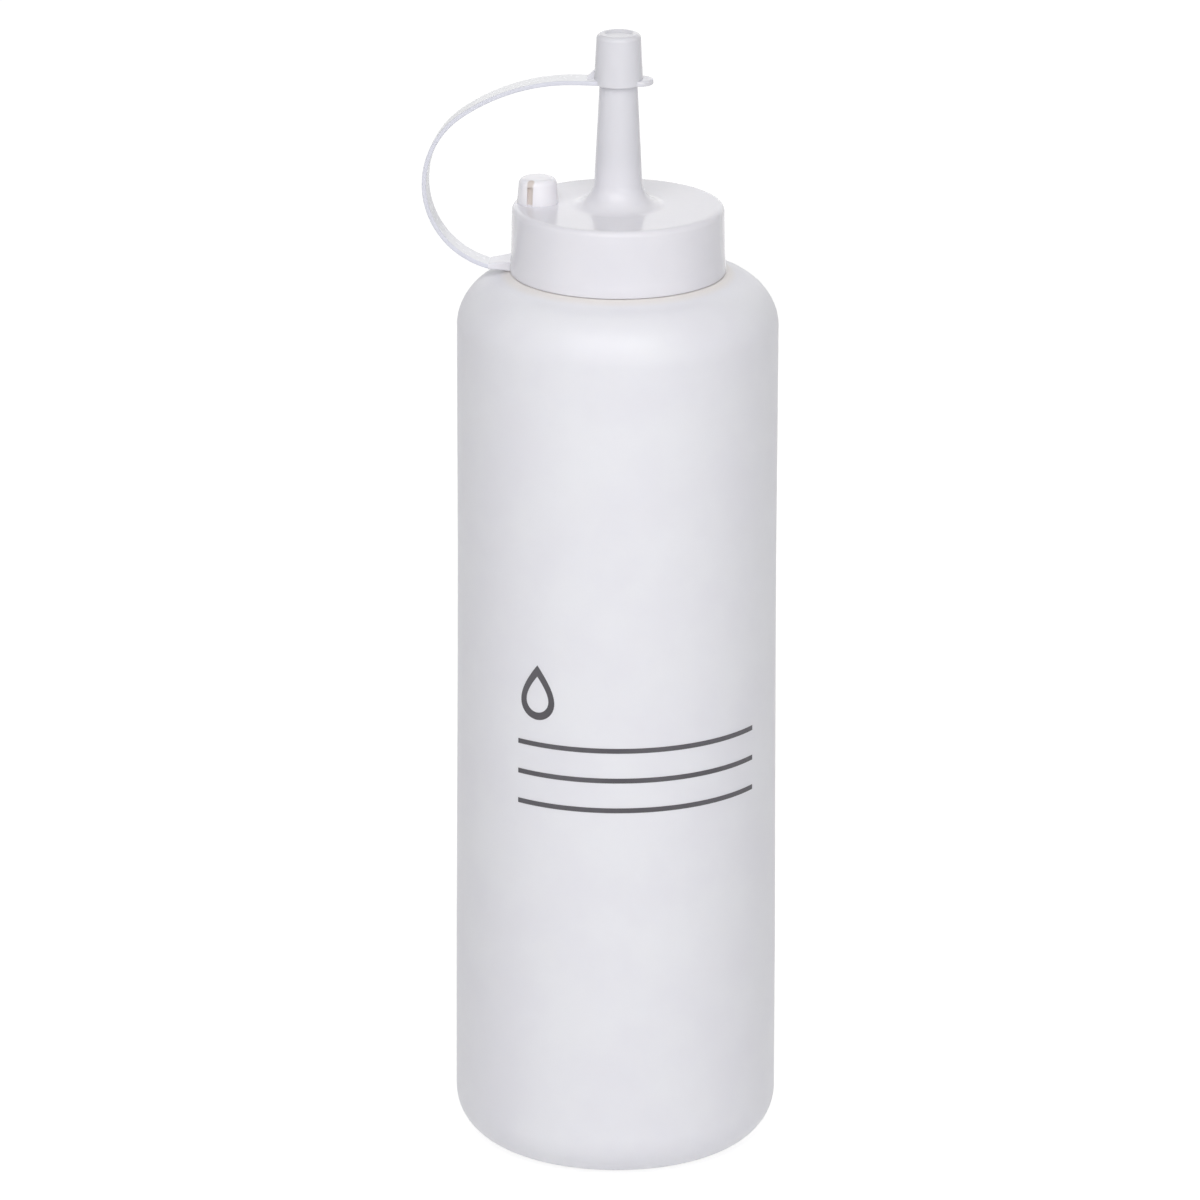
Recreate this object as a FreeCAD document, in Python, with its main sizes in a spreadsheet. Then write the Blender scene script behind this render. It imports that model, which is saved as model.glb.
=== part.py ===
"""Squeeze bottle for sauces with a screw cap, a tapered nozzle and a tethered nozzle cap.

The origin is the centre of the base on the surface that the bottle stands on. +Z is up along
the bottle's axis, and the tether of the nozzle cap loops out towards -X. Lengths are millimetres.
"""
import FreeCAD, Part
import os
import Sketcher
from FreeCAD import Vector

# Driving sizes, one cell each. Lengths in mm, names ending in deg in degrees.
SIZES = {
    # bottle: a plain cylinder, a touch wider at the base, with a round base corner and a round
    # shoulder that slopes up to a flat ledge round the neck
    "shoulder_height": 198.0,
    "body_radius": 34.9,
    "base_radius": 35.5,
    "shoulder_ledge": 0.8,
    "shoulder_slope_width": 3.5,
    "shoulder_slope_deg": 18.0,
    "corner_round": 10.2,
    "bottle_wall": 1.2,
    "foot_width": 3.0,
    "push_up": 2.5,
    "neck_wall": 1.5,
    # thread between the neck and the screw cap, right-handed
    "thread_pitch": 4.2,
    "thread_turns": 1.25,
    "thread_depth": 1.2,
    "thread_crest": 0.8,
    "thread_flank_deg": 25.0,
    "thread_gap": 0.3,
    "thread_play": 0.25,
    "thread_lip_gap": 1.2,
    # screw cap: skirt with a bead and a little draft, round rim and flat deck
    "skirt_gap": 0.65,
    "skirt_radius": 23.15,
    "skirt_draft": 0.2,
    "skirt_height": 14.65,
    "skirt_wall": 1.8,
    "bead_height": 2.2,
    "bead_proud": 0.28,
    "rim_round": 1.3,
    "deck_thickness": 2.0,
    # nozzle on the deck, with its channel, and the tip that the nozzle cap sits on
    "nozzle_root_radius": 5.45,
    "nozzle_taper_deg": 2.9,
    "nozzle_flare": 5.5,
    "nozzle_height": 27.0,
    "nozzle_wall": 1.3,
    "channel_mouth": 2.0,
    "funnel_height": 3.0,
    "orifice_radius": 1.6,
    "tip_radius": 3.3,
    "tip_length": 7.5,
    "tip_chamfer": 0.5,
    # post on the deck where the nozzle cap is parked
    "post_offset": 17.45,
    "post_base_radius": 4.5,
    "post_top_radius": 4.1,
    "post_height": 5.6,
    "post_round": 1.3,
    "vent_width": 1.1,
    "vent_depth": 0.6,
    "vent_margin": 0.3,
    "vent_turn_deg": 106.0,
    # sealing liner between the neck's lip and the deck
    "liner_thickness": 1.2,
    "liner_width": 3.5,
    "liner_gap": 0.3,
    # nozzle cap with its pull tab
    "cap_height": 11.0,
    "cap_base_radius": 5.3,
    "cap_top_radius": 4.75,
    "cap_round": 1.05,
    "cap_recess_radius": 3.1,
    "cap_recess_depth": 0.5,
    "cap_fit": 0.08,
    "cap_head_gap": 0.4,
    "plug_gap": 0.1,
    "plug_length": 2.4,
    "pull_tab_reach": 7.5,
    "pull_tab_width": 6.2,
    "pull_tab_thickness": 1.1,
    "gusset_height": 1.8,
    "gusset_length": 1.4,
    "gusset_thickness": 1.6,
    # strap that loops from a lug on the skirt up to a stub on the nozzle cap
    "strap_width": 6.2,
    "strap_thickness": 0.95,
    "strap_root_thickness": 1.1,
    "strap_reach": 42.35,
    "strap_low_radius": 18.85,
    "strap_sink": 0.3,
    "strap_run": 0.9,
    "strap_flatten": 4.45,
    "strap_stub": 2.7,
    "lug_length": 4.8,
    "lug_thickness": 2.4,
    "lug_margin": 0.7,
    # how far a cut runs past its piece, and a joined feature is sunk into its wall
    "overrun": 0.4,
}

# Places worked out from the sizes. Each sub-part's heights count from its own origin.
PLACES = {
    # bottle
    "closure_z": "Sizes.shoulder_height + Sizes.skirt_gap",
    "shoulder_flat_radius": "Sizes.skirt_radius + Sizes.shoulder_ledge",
    "shoulder_edge_radius": "shoulder_flat_radius + Sizes.shoulder_slope_width",
    "shoulder_edge_z": "Sizes.shoulder_height"
    " - Sizes.shoulder_slope_width * tan(Sizes.shoulder_slope_deg)",
    "shoulder_round": "(Sizes.body_radius - shoulder_edge_radius) / (1 - sin(Sizes.shoulder_slope_deg))",
    "shoulder_start_z": "shoulder_edge_z - shoulder_round * cos(Sizes.shoulder_slope_deg)",
    "shoulder_inner_round": "shoulder_round - Sizes.bottle_wall",
    "shoulder_edge_inner_radius": "shoulder_edge_radius"
    " - Sizes.bottle_wall * sin(Sizes.shoulder_slope_deg)",
    "shoulder_edge_inner_z": "shoulder_edge_z - Sizes.bottle_wall * cos(Sizes.shoulder_slope_deg)",
    "shoulder_flat_inner_radius": "shoulder_flat_radius"
    " - Sizes.bottle_wall * tan(Sizes.shoulder_slope_deg / 2)",
    "shoulder_inner_z": "Sizes.shoulder_height - Sizes.bottle_wall",
    "body_inner_radius": "Sizes.body_radius - Sizes.bottle_wall",
    "base_inner_radius": "Sizes.base_radius - Sizes.bottle_wall",
    "corner_inner_round": "Sizes.corner_round - Sizes.bottle_wall",
    "foot_outer_radius": "Sizes.base_radius - Sizes.corner_round",
    "foot_inner_radius": "foot_outer_radius - Sizes.foot_width",
    "dome_radius": "(foot_inner_radius ^ 2 + Sizes.push_up ^ 2) / (2 * Sizes.push_up)",
    "dome_inner_z": "Sizes.push_up + Sizes.bottle_wall",
    "lip_z": "closure_z + ceiling_z - Sizes.liner_thickness",
    "neck_radius": "crest_radius - Sizes.thread_depth",
    "neck_bore_radius": "neck_radius - Sizes.neck_wall",
    # thread ridges, a trapezium on the neck and one just under it in the cap
    "crest_radius": "skirt_inner_radius - Sizes.thread_gap",
    "neck_sunk_radius": "neck_radius - Sizes.overrun",
    "ridge_half_crest": "Sizes.thread_crest / 2",
    "ridge_slope": "tan(Sizes.thread_flank_deg)",
    "ridge_half_root": "ridge_half_crest + (Sizes.thread_depth + Sizes.overrun) * ridge_slope",
    "ridge_climb": "Sizes.thread_pitch * Sizes.thread_turns",
    "ridge_z": "lip_z - Sizes.thread_lip_gap - ridge_half_root - ridge_climb",
    "ridge_low_root_z": "ridge_z - ridge_half_root",
    "ridge_low_crest_z": "ridge_z - ridge_half_crest",
    "ridge_high_crest_z": "ridge_z + ridge_half_crest",
    "ridge_high_root_z": "ridge_z + ridge_half_root",
    "groove_crest_radius": "skirt_inner_radius - Sizes.thread_depth",
    "groove_sunk_radius": "skirt_inner_radius + Sizes.overrun",
    "flank_overlap": "(Sizes.thread_depth - Sizes.thread_gap) * ridge_slope",
    "groove_z": "ridge_z - Sizes.thread_crest - flank_overlap - Sizes.thread_play - closure_z",
    "groove_low_root_z": "groove_z - ridge_half_root",
    "groove_low_crest_z": "groove_z - ridge_half_crest",
    "groove_high_crest_z": "groove_z + ridge_half_crest",
    "groove_high_root_z": "groove_z + ridge_half_root",
    # screw cap, from the skirt's lower edge
    "skirt_inner_radius": "Sizes.skirt_radius - Sizes.skirt_wall",
    "bead_radius": "Sizes.skirt_radius + Sizes.bead_proud",
    "bead_shoulder_z": "Sizes.bead_height - Sizes.bead_proud",
    "rim_round_z": "Sizes.skirt_height - Sizes.rim_round",
    "skirt_top_radius": "Sizes.skirt_radius - Sizes.skirt_draft",
    "deck_radius": "skirt_top_radius - Sizes.rim_round",
    "deck_z": "Sizes.skirt_height",
    "ceiling_z": "deck_z - Sizes.deck_thickness",
    "flare_foot_radius": "Sizes.nozzle_root_radius"
    " + Sizes.nozzle_flare * (1 - sin(Sizes.nozzle_taper_deg)) / cos(Sizes.nozzle_taper_deg)",
    "flare_top_radius": "flare_foot_radius - Sizes.nozzle_flare * cos(Sizes.nozzle_taper_deg)",
    "flare_top_z": "deck_z + Sizes.nozzle_flare * (1 - sin(Sizes.nozzle_taper_deg))",
    "stop_z": "deck_z + Sizes.nozzle_height",
    "stop_radius": "Sizes.nozzle_root_radius - Sizes.nozzle_height * tan(Sizes.nozzle_taper_deg)",
    "tip_z": "stop_z + Sizes.tip_length",
    "tip_chamfer_z": "tip_z - Sizes.tip_chamfer",
    "tip_top_radius": "Sizes.tip_radius - Sizes.tip_chamfer",
    "funnel_z": "stop_z - Sizes.funnel_height",
    "funnel_radius": "stop_radius + Sizes.funnel_height * tan(Sizes.nozzle_taper_deg)"
    " - Sizes.nozzle_wall",
    "channel_radius": "Sizes.nozzle_root_radius - Sizes.nozzle_wall",
    "channel_mouth_z": "ceiling_z + Sizes.channel_mouth",
    "channel_mouth_radius": "channel_radius + Sizes.channel_mouth",
    # parking post, about its own axis
    "post_x": "-Sizes.post_offset",
    "post_sunk_z": "rim_round_z",
    "post_top_z": "deck_z + Sizes.post_height",
    "post_round_z": "post_top_z - Sizes.post_round",
    "post_flat_radius": "Sizes.post_top_radius - Sizes.post_round",
    "vent_floor_radius": "Sizes.post_top_radius - Sizes.vent_depth",
    "vent_mouth_radius": "Sizes.post_base_radius + Sizes.overrun",
    "vent_back_y": "Sizes.vent_width / 2",
    "vent_front_y": "-vent_back_y",
    "vent_z": "post_round_z - Sizes.vent_margin",
    "vent_length": "vent_z - deck_z - Sizes.vent_margin",
    # sealing liner
    "liner_outer_radius": "skirt_inner_radius - Sizes.liner_gap",
    "liner_inner_radius": "liner_outer_radius - Sizes.liner_width",
    # nozzle cap, from its lower edge
    "nozzle_cap_z": "closure_z + stop_z",
    "cap_bore_radius": "Sizes.tip_radius + Sizes.cap_fit",
    "cap_bore_z": "Sizes.tip_length + Sizes.cap_head_gap",
    "plug_radius": "Sizes.orifice_radius - Sizes.plug_gap",
    "plug_z": "cap_bore_z - Sizes.plug_length",
    "cap_round_z": "Sizes.cap_height - Sizes.cap_round",
    "cap_flat_radius": "Sizes.cap_top_radius - Sizes.cap_round",
    "cap_recess_z": "Sizes.cap_height - Sizes.cap_recess_depth",
    "cap_cut_z": "-Sizes.overrun",
    "pull_tab_back_y": "Sizes.pull_tab_width / 2",
    "pull_tab_front_y": "-pull_tab_back_y",
    "pull_tab_centre_x": "Sizes.pull_tab_reach - pull_tab_back_y",
    "gusset_top_z": "Sizes.strap_thickness + Sizes.gusset_height",
    "gusset_x": "-Sizes.cap_base_radius",
    "gusset_foot_x": "gusset_x - Sizes.gusset_length",
    # strap, from the skirt's lower edge: outer face, then inner face
    "stub_x": "-(Sizes.cap_base_radius + Sizes.strap_stub)",
    "strap_bend_x": "stub_x - Sizes.strap_run",
    "strap_top_z": "stop_z + Sizes.strap_thickness",
    "strap_under_z": "stop_z",
    "lug_x": "-(Sizes.skirt_radius + Sizes.lug_length)",
    "lug_sunk_x": "-(Sizes.skirt_radius - Sizes.skirt_wall / 2)",
    "lug_width": "Sizes.strap_width + 2 * Sizes.lug_margin",
    "strap_left_x": "-Sizes.strap_reach",
    "strap_left_inner_x": "strap_left_x + Sizes.strap_thickness",
    "strap_left_z": "Sizes.strap_low_radius - Sizes.strap_sink",
    "strap_low_x": "strap_left_x + Sizes.strap_low_radius",
    "strap_end_z": "strap_left_z - sqrt(Sizes.strap_low_radius ^ 2 - (lug_x - strap_low_x) ^ 2)",
    "strap_end_top_z": "strap_end_z + Sizes.strap_root_thickness",
    "strap_rise": "strap_top_z - strap_left_z",
    "strap_span": "strap_bend_x - strap_left_x",
    "strap_side_radius": "strap_rise - Sizes.strap_flatten",
    "strap_top_radius": "((strap_span - strap_side_radius) ^ 2 + strap_rise ^ 2 - strap_side_radius ^ 2)"
    " / (2 * Sizes.strap_flatten)",
    "strap_side_inner_radius": "strap_side_radius - Sizes.strap_thickness",
    "strap_top_inner_radius": "strap_top_radius - Sizes.strap_thickness",
    "strap_lean_x": "(strap_left_x + strap_side_radius - strap_bend_x)"
    " / (strap_top_radius - strap_side_radius)",
    "strap_lean_z": "(strap_left_z - strap_top_z + strap_top_radius)"
    " / (strap_top_radius - strap_side_radius)",
    "strap_turn_x": "strap_bend_x + strap_top_radius * strap_lean_x",
    "strap_turn_z": "strap_top_z - strap_top_radius + strap_top_radius * strap_lean_z",
    "strap_turn_inner_x": "strap_bend_x + strap_top_inner_radius * strap_lean_x",
    "strap_turn_inner_z": "strap_top_z - strap_top_radius + strap_top_inner_radius * strap_lean_z",
    "strap_inner_span": "lug_x - strap_left_inner_x",
    "strap_inner_drop": "strap_left_z - strap_end_top_z",
    "strap_low_inner_radius": "(strap_inner_span ^ 2 + strap_inner_drop ^ 2) / (2 * strap_inner_span)",
}

# How an arc curves, and the numbers by which a sketch knows an edge's ends and its own axes.
LEFT = True
RIGHT = False
START, END = range(1, 3)
ON_X_AXIS, ON_Y_AXIS = range(-1, -3, -1)
ORIGIN_POINT = (ON_X_AXIS, START)

doc = FreeCAD.newDocument("sauce_dispenser")


def fill_sheet(name, cells, prefix):
    """A sheet with one named cell to a row."""
    sheet = doc.addObject("Spreadsheet::Sheet", name)
    for row, (alias, content) in enumerate(cells.items(), start=1):
        sheet.set(f"A{row}", alias)
        sheet.set(f"B{row}", prefix + str(content))
        sheet.setAlias(f"B{row}", alias)
    return sheet


sizes_sheet = fill_sheet("Sizes", SIZES, "")
places_sheet = fill_sheet("Places", PLACES, "=")
doc.recompute()


def reference(name):
    """The expression that reads a named cell."""
    return f"Sizes.{name}" if name in SIZES else f"Places.{name}"


def value(name):
    """What a named cell holds now."""
    if name == "0":
        return 0.0
    sheet = sizes_sheet if name in SIZES else places_sheet
    return float(sheet.get(name))


def bind(item, **cells):
    """Each property of item follows the cell of that name."""
    for prop, name in cells.items():
        item.setExpression(prop, reference(name))


def new_body(name, height=None):
    """An empty sub-part, lifted to the height that a cell gives."""
    body = doc.addObject("PartDesign::Body", name)
    body.Label = name
    if height:
        body.setExpression("Placement.Base.z", reference(height))
    return body


def plane_of(body, role):
    """One of the body's own origin planes."""
    return next(f for f in body.Origin.OriginFeatures if f.Role == role)


def arc_between(start, end, radius, turn):
    """The arc from start to end that curves LEFT or RIGHT, drawn anticlockwise as a sketch keeps it."""
    chord = end - start
    half = chord.Length / 2
    offset = max(radius ** 2 - half ** 2, 0.0) ** 0.5
    side = Vector(-chord.y, chord.x, 0).normalize() * offset
    centre = start + chord / 2 + (side if turn is LEFT else -side)
    circle = Part.Circle(centre, Vector(0, 0, 1), radius)
    first, last = (start, end) if turn is LEFT else (end, start)
    return Part.ArcOfCircle(circle, circle.parameter(first), circle.parameter(last))


def outline(body, name, role, corners, arcs):
    """A closed sketch through corners named by their cells, with an arc where arcs gives a radius."""
    sketch = body.newObject("Sketcher::SketchObject", name)
    sketch.AttachmentSupport = (plane_of(body, role), [""])
    sketch.MapMode = "FlatFace"
    points = [Vector(value(x), value(y), 0) for x, y in corners]
    ends = []
    for i, start in enumerate(points):
        end = points[(i + 1) % len(points)]
        if i in arcs:
            radius, turn = arcs[i]
            sketch.addGeometry(arc_between(start, end, value(radius), turn), False)
            ends.append((START, END) if turn is LEFT else (END, START))
        else:
            sketch.addGeometry(Part.LineSegment(start, end), False)
            ends.append((START, END))
    for i, (x, y) in enumerate(corners):
        before = i - 1 if i else len(corners) - 1
        sketch.addConstraint(Sketcher.Constraint("Coincident", before, ends[before][1], i, ends[i][0]))
        place_corner(sketch, i, ends[i][0], x, y)
    for i, (radius, turn) in arcs.items():
        index = sketch.addConstraint(Sketcher.Constraint("Radius", i, value(radius)))
        sketch.setExpression(f"Constraints[{index}]", reference(radius))
    return sketch


def place_corner(sketch, edge, end, x, y):
    """Ties one corner to its two cells, or to an axis where its place is zero."""
    for kind, name, axis in (("DistanceX", x, ON_Y_AXIS), ("DistanceY", y, ON_X_AXIS)):
        if name == "0":
            sketch.addConstraint(Sketcher.Constraint("PointOnObject", edge, end, axis))
        else:
            rule = Sketcher.Constraint(kind, *ORIGIN_POINT, edge, end, value(name))
            index = sketch.addConstraint(rule)
            sketch.setExpression(f"Constraints[{index}]", reference(name))


def revolve(body, name, sketch, kind="Revolution"):
    """Turns a sketch about its own upright axis, to add a Revolution or cut a Groove."""
    feature = body.newObject(f"PartDesign::{kind}", name)
    feature.Profile = sketch
    feature.ReferenceAxis = (sketch, ["V_Axis"])
    feature.Angle = 360
    sketch.Visibility = False
    return feature


def wind(body, name, sketch):
    """Carries a ridge's section round the upright axis on the thread's helix."""
    feature = body.newObject("PartDesign::AdditiveHelix", name)
    feature.Profile = sketch
    feature.ReferenceAxis = (sketch, ["V_Axis"])
    feature.Mode = "pitch-turns-angle"
    feature.LeftHanded = False
    feature.Reversed = False
    bind(feature, Pitch="thread_pitch", Turns="thread_turns")
    return feature


def pad(body, name, sketch, length, both_ways):
    """Thickens a sketch, upwards or to both sides of its plane."""
    feature = body.newObject("PartDesign::Pad", name)
    feature.Profile = sketch
    feature.SideType = "Symmetric" if both_ways else "One side"
    bind(feature, Length=length)
    return feature


def make_bottle():
    """Blown bottle: pushed-up base on a foot ring, straight wall, round shoulder, threaded neck."""
    body = new_body("bottle")
    corners = [
        ("0", "push_up"),
        ("foot_inner_radius", "0"),
        ("foot_outer_radius", "0"),
        ("base_radius", "corner_round"),
        ("body_radius", "shoulder_start_z"),
        ("shoulder_edge_radius", "shoulder_edge_z"),
        ("shoulder_flat_radius", "shoulder_height"),
        ("neck_radius", "shoulder_height"),
        ("neck_radius", "lip_z"),
        ("neck_bore_radius", "lip_z"),
        ("neck_bore_radius", "shoulder_inner_z"),
        ("shoulder_flat_inner_radius", "shoulder_inner_z"),
        ("shoulder_edge_inner_radius", "shoulder_edge_inner_z"),
        ("body_inner_radius", "shoulder_start_z"),
        ("base_inner_radius", "corner_round"),
        ("foot_outer_radius", "bottle_wall"),
        ("foot_inner_radius", "bottle_wall"),
        ("0", "dome_inner_z"),
    ]
    arcs = {
        0: ("dome_radius", RIGHT),
        2: ("corner_round", LEFT),
        4: ("shoulder_round", LEFT),
        12: ("shoulder_inner_round", RIGHT),
        14: ("corner_inner_round", RIGHT),
        16: ("dome_radius", LEFT),
    }
    revolve(body, "bottle_shell", outline(body, "bottle_outline", "XZ_Plane", corners, arcs))
    ridge = [
        ("neck_sunk_radius", "ridge_low_root_z"),
        ("crest_radius", "ridge_low_crest_z"),
        ("crest_radius", "ridge_high_crest_z"),
        ("neck_sunk_radius", "ridge_high_root_z"),
    ]
    wind(body, "neck_thread", outline(body, "neck_ridge", "XZ_Plane", ridge, {}))
    return body


def make_liner():
    """Flat ring that the deck presses on the neck's lip."""
    body = new_body("sealing_liner", "lip_z")
    corners = [
        ("liner_inner_radius", "0"),
        ("liner_outer_radius", "0"),
        ("liner_outer_radius", "liner_thickness"),
        ("liner_inner_radius", "liner_thickness"),
    ]
    revolve(body, "liner_ring", outline(body, "liner_section", "XZ_Plane", corners, {}))
    return body


def make_screw_cap():
    """Skirt with its inner thread, flat deck, tapered nozzle, parking post and strap lug."""
    body = new_body("screw_cap", "closure_z")
    corners = [
        ("skirt_inner_radius", "0"),
        ("bead_radius", "0"),
        ("bead_radius", "bead_shoulder_z"),
        ("skirt_radius", "bead_height"),
        ("skirt_top_radius", "rim_round_z"),
        ("deck_radius", "deck_z"),
        ("flare_foot_radius", "deck_z"),
        ("flare_top_radius", "flare_top_z"),
        ("stop_radius", "stop_z"),
        ("tip_radius", "stop_z"),
        ("tip_radius", "tip_chamfer_z"),
        ("tip_top_radius", "tip_z"),
        ("orifice_radius", "tip_z"),
        ("orifice_radius", "stop_z"),
        ("funnel_radius", "funnel_z"),
        ("channel_radius", "channel_mouth_z"),
        ("channel_mouth_radius", "ceiling_z"),
        ("skirt_inner_radius", "ceiling_z"),
    ]
    arcs = {
        4: ("rim_round", LEFT),
        6: ("nozzle_flare", RIGHT),
    }
    revolve(body, "cap_shell", outline(body, "cap_outline", "XZ_Plane", corners, arcs))
    ridge = [
        ("groove_crest_radius", "groove_low_crest_z"),
        ("groove_sunk_radius", "groove_low_root_z"),
        ("groove_sunk_radius", "groove_high_root_z"),
        ("groove_crest_radius", "groove_high_crest_z"),
    ]
    wind(body, "cap_thread", outline(body, "cap_ridge", "XZ_Plane", ridge, {}))
    add_parking_post(body)
    lug = [
        ("lug_x", "strap_end_z"),
        ("lug_sunk_x", "0"),
        ("lug_sunk_x", "lug_thickness"),
        ("lug_x", "strap_end_top_z"),
    ]
    pad(body, "strap_lug", outline(body, "lug_outline", "XZ_Plane", lug, {}), "lug_width", True)
    return body


def add_parking_post(body):
    """Stub post with a round top edge and a vent groove down its side."""
    corners = [
        ("0", "post_sunk_z"),
        ("post_base_radius", "post_sunk_z"),
        ("post_top_radius", "post_round_z"),
        ("post_flat_radius", "post_top_z"),
        ("0", "post_top_z"),
    ]
    section = outline(body, "post_section", "XZ_Plane", corners, {2: ("post_round", LEFT)})
    section.setExpression("AttachmentOffset.Base.x", reference("post_x"))
    revolve(body, "parking_post", section)
    slot = [
        ("vent_floor_radius", "vent_front_y"),
        ("vent_mouth_radius", "vent_front_y"),
        ("vent_mouth_radius", "vent_back_y"),
        ("vent_floor_radius", "vent_back_y"),
    ]
    section = outline(body, "vent_section", "XY_Plane", slot, {})
    section.setExpression("AttachmentOffset.Base.x", reference("post_x"))
    section.setExpression("AttachmentOffset.Base.z", reference("vent_z"))
    section.setExpression("AttachmentOffset.Rotation.Angle", "-" + reference("vent_turn_deg"))
    vent = body.newObject("PartDesign::Pocket", "post_vent")
    vent.Profile = section
    bind(vent, Length="vent_length")


def make_strap():
    """Flat tether bent in a loop from the skirt's edge up to the nozzle cap."""
    body = new_body("cap_strap", "closure_z")
    corners = [
        ("stub_x", "strap_top_z"),
        ("strap_bend_x", "strap_top_z"),
        ("strap_turn_x", "strap_turn_z"),
        ("strap_left_x", "strap_left_z"),
        ("lug_x", "strap_end_z"),
        ("lug_x", "strap_end_top_z"),
        ("strap_left_inner_x", "strap_left_z"),
        ("strap_turn_inner_x", "strap_turn_inner_z"),
        ("strap_bend_x", "strap_under_z"),
        ("stub_x", "strap_under_z"),
    ]
    arcs = {
        1: ("strap_top_radius", LEFT),
        2: ("strap_side_radius", LEFT),
        3: ("strap_low_radius", LEFT),
        5: ("strap_low_inner_radius", RIGHT),
        6: ("strap_side_inner_radius", RIGHT),
        7: ("strap_top_inner_radius", RIGHT),
    }
    pad(body, "strap_band", outline(body, "strap_outline", "XZ_Plane", corners, arcs), "strap_width", True)
    return body


def make_nozzle_cap():
    """Tapered cap with a pull tab, the strap's stub under its gusset, and a bore with a plug."""
    body = new_body("nozzle_cap", "nozzle_cap_z")
    corners = [
        ("0", "0"),
        ("cap_base_radius", "0"),
        ("cap_top_radius", "cap_round_z"),
        ("cap_flat_radius", "cap_height"),
        ("cap_recess_radius", "cap_height"),
        ("cap_recess_radius", "cap_recess_z"),
        ("0", "cap_recess_z"),
    ]
    thimble = outline(body, "thimble_outline", "XZ_Plane", corners, {2: ("cap_round", LEFT)})
    revolve(body, "cap_thimble", thimble)
    stub = [
        ("stub_x", "0"),
        ("0", "0"),
        ("0", "strap_thickness"),
        ("stub_x", "strap_thickness"),
    ]
    pad(body, "strap_stub", outline(body, "stub_outline", "XZ_Plane", stub, {}), "strap_width", True)
    gusset = [
        ("gusset_foot_x", "0"),
        ("0", "0"),
        ("0", "gusset_top_z"),
        ("gusset_x", "gusset_top_z"),
        ("gusset_foot_x", "strap_thickness"),
    ]
    pad(body, "strap_gusset", outline(body, "gusset_outline", "XZ_Plane", gusset, {}),
        "gusset_thickness", True)
    tab = [
        ("0", "pull_tab_front_y"),
        ("pull_tab_centre_x", "pull_tab_front_y"),
        ("pull_tab_reach", "0"),
        ("pull_tab_centre_x", "pull_tab_back_y"),
        ("0", "pull_tab_back_y"),
    ]
    round_end = {1: ("pull_tab_back_y", LEFT), 2: ("pull_tab_back_y", LEFT)}
    pad(body, "pull_tab", outline(body, "pull_tab_outline", "XY_Plane", tab, round_end),
        "pull_tab_thickness", False)
    bore = [
        ("0", "cap_cut_z"),
        ("cap_bore_radius", "cap_cut_z"),
        ("cap_bore_radius", "cap_bore_z"),
        ("plug_radius", "cap_bore_z"),
        ("plug_radius", "plug_z"),
        ("0", "plug_z"),
    ]
    revolve(body, "cap_bore", outline(body, "bore_outline", "XZ_Plane", bore, {}), "Groove")
    return body


sub_parts = [make_bottle(), make_liner(), make_screw_cap(), make_strap(), make_nozzle_cap()]
doc.recompute()

failed = [item.Name for item in doc.Objects if {"Invalid", "Error"} & set(item.State)]
failed += [part.Label for part in sub_parts if part.Shape.isNull() or not part.Shape.isValid()]
if failed:
    raise RuntimeError(f"could not build {failed}")

os.makedirs("parts", exist_ok=True)
for part in sub_parts:
    part.Shape.exportStep(f"parts/{part.Label}.step")
    box = part.Shape.BoundBox
    print(f"{part.Label}: {len(part.Shape.Solids)} solid, {part.Shape.Volume / 1000:.2f} ml,"
          f" z {box.ZMin:.2f} to {box.ZMax:.2f}, x {box.XMin:.2f} to {box.XMax:.2f}")
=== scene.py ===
# %% [markdown]
# # A squeeze bottle for sauces
# The real thing is a blown bottle of milky soft plastic. One moulded closure screws onto it: a cap with
# a tapered nozzle, a parking post, and a strap that holds a small cap on the nozzle's tip.
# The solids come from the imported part. This lesson builds a finer mesh for each piece that shows, with
# Blender's own modelling operators, and gives each one a plastic made of nodes.

from math import asin, atan2, cos, degrees, pi, radians, sin, sqrt, tan

import bmesh
import bpy
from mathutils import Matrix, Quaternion, Vector


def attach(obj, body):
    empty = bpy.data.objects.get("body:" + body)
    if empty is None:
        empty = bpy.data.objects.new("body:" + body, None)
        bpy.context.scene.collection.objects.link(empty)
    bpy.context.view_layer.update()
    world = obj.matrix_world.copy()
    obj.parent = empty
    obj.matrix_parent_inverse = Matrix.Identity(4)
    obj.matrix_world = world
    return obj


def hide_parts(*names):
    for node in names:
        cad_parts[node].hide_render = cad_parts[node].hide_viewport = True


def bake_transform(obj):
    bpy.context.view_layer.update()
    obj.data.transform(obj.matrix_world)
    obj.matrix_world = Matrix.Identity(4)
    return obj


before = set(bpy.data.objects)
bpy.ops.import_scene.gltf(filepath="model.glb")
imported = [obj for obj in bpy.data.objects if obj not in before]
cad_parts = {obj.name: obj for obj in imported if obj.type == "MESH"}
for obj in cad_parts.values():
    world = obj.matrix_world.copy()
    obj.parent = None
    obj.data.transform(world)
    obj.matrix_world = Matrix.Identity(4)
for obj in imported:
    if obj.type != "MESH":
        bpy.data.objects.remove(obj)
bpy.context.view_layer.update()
MM = 0.001
ORIGIN = (0, 0, 0)

# %% [markdown]
# ## Turning rings
# A bottle, a cap and a post are all round. They could be drawn as a profile and spun, but a ring that is
# extruded upwards and scaled, again and again, is easier to follow: each ring is a radius and a height,
# and the wall between two rings is one band of faces. Corners are drawn sharp, and rounded afterwards
# with the bevel operator, just as a mould maker breaks an edge.

# %% Extrude a circle from ring to ring
def start_piece(name):
    """Names the object that was just added and opens it for editing."""
    piece = bpy.context.object
    piece.name = piece.data.name = name
    bpy.ops.object.mode_set(mode="EDIT")
    return piece


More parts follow.
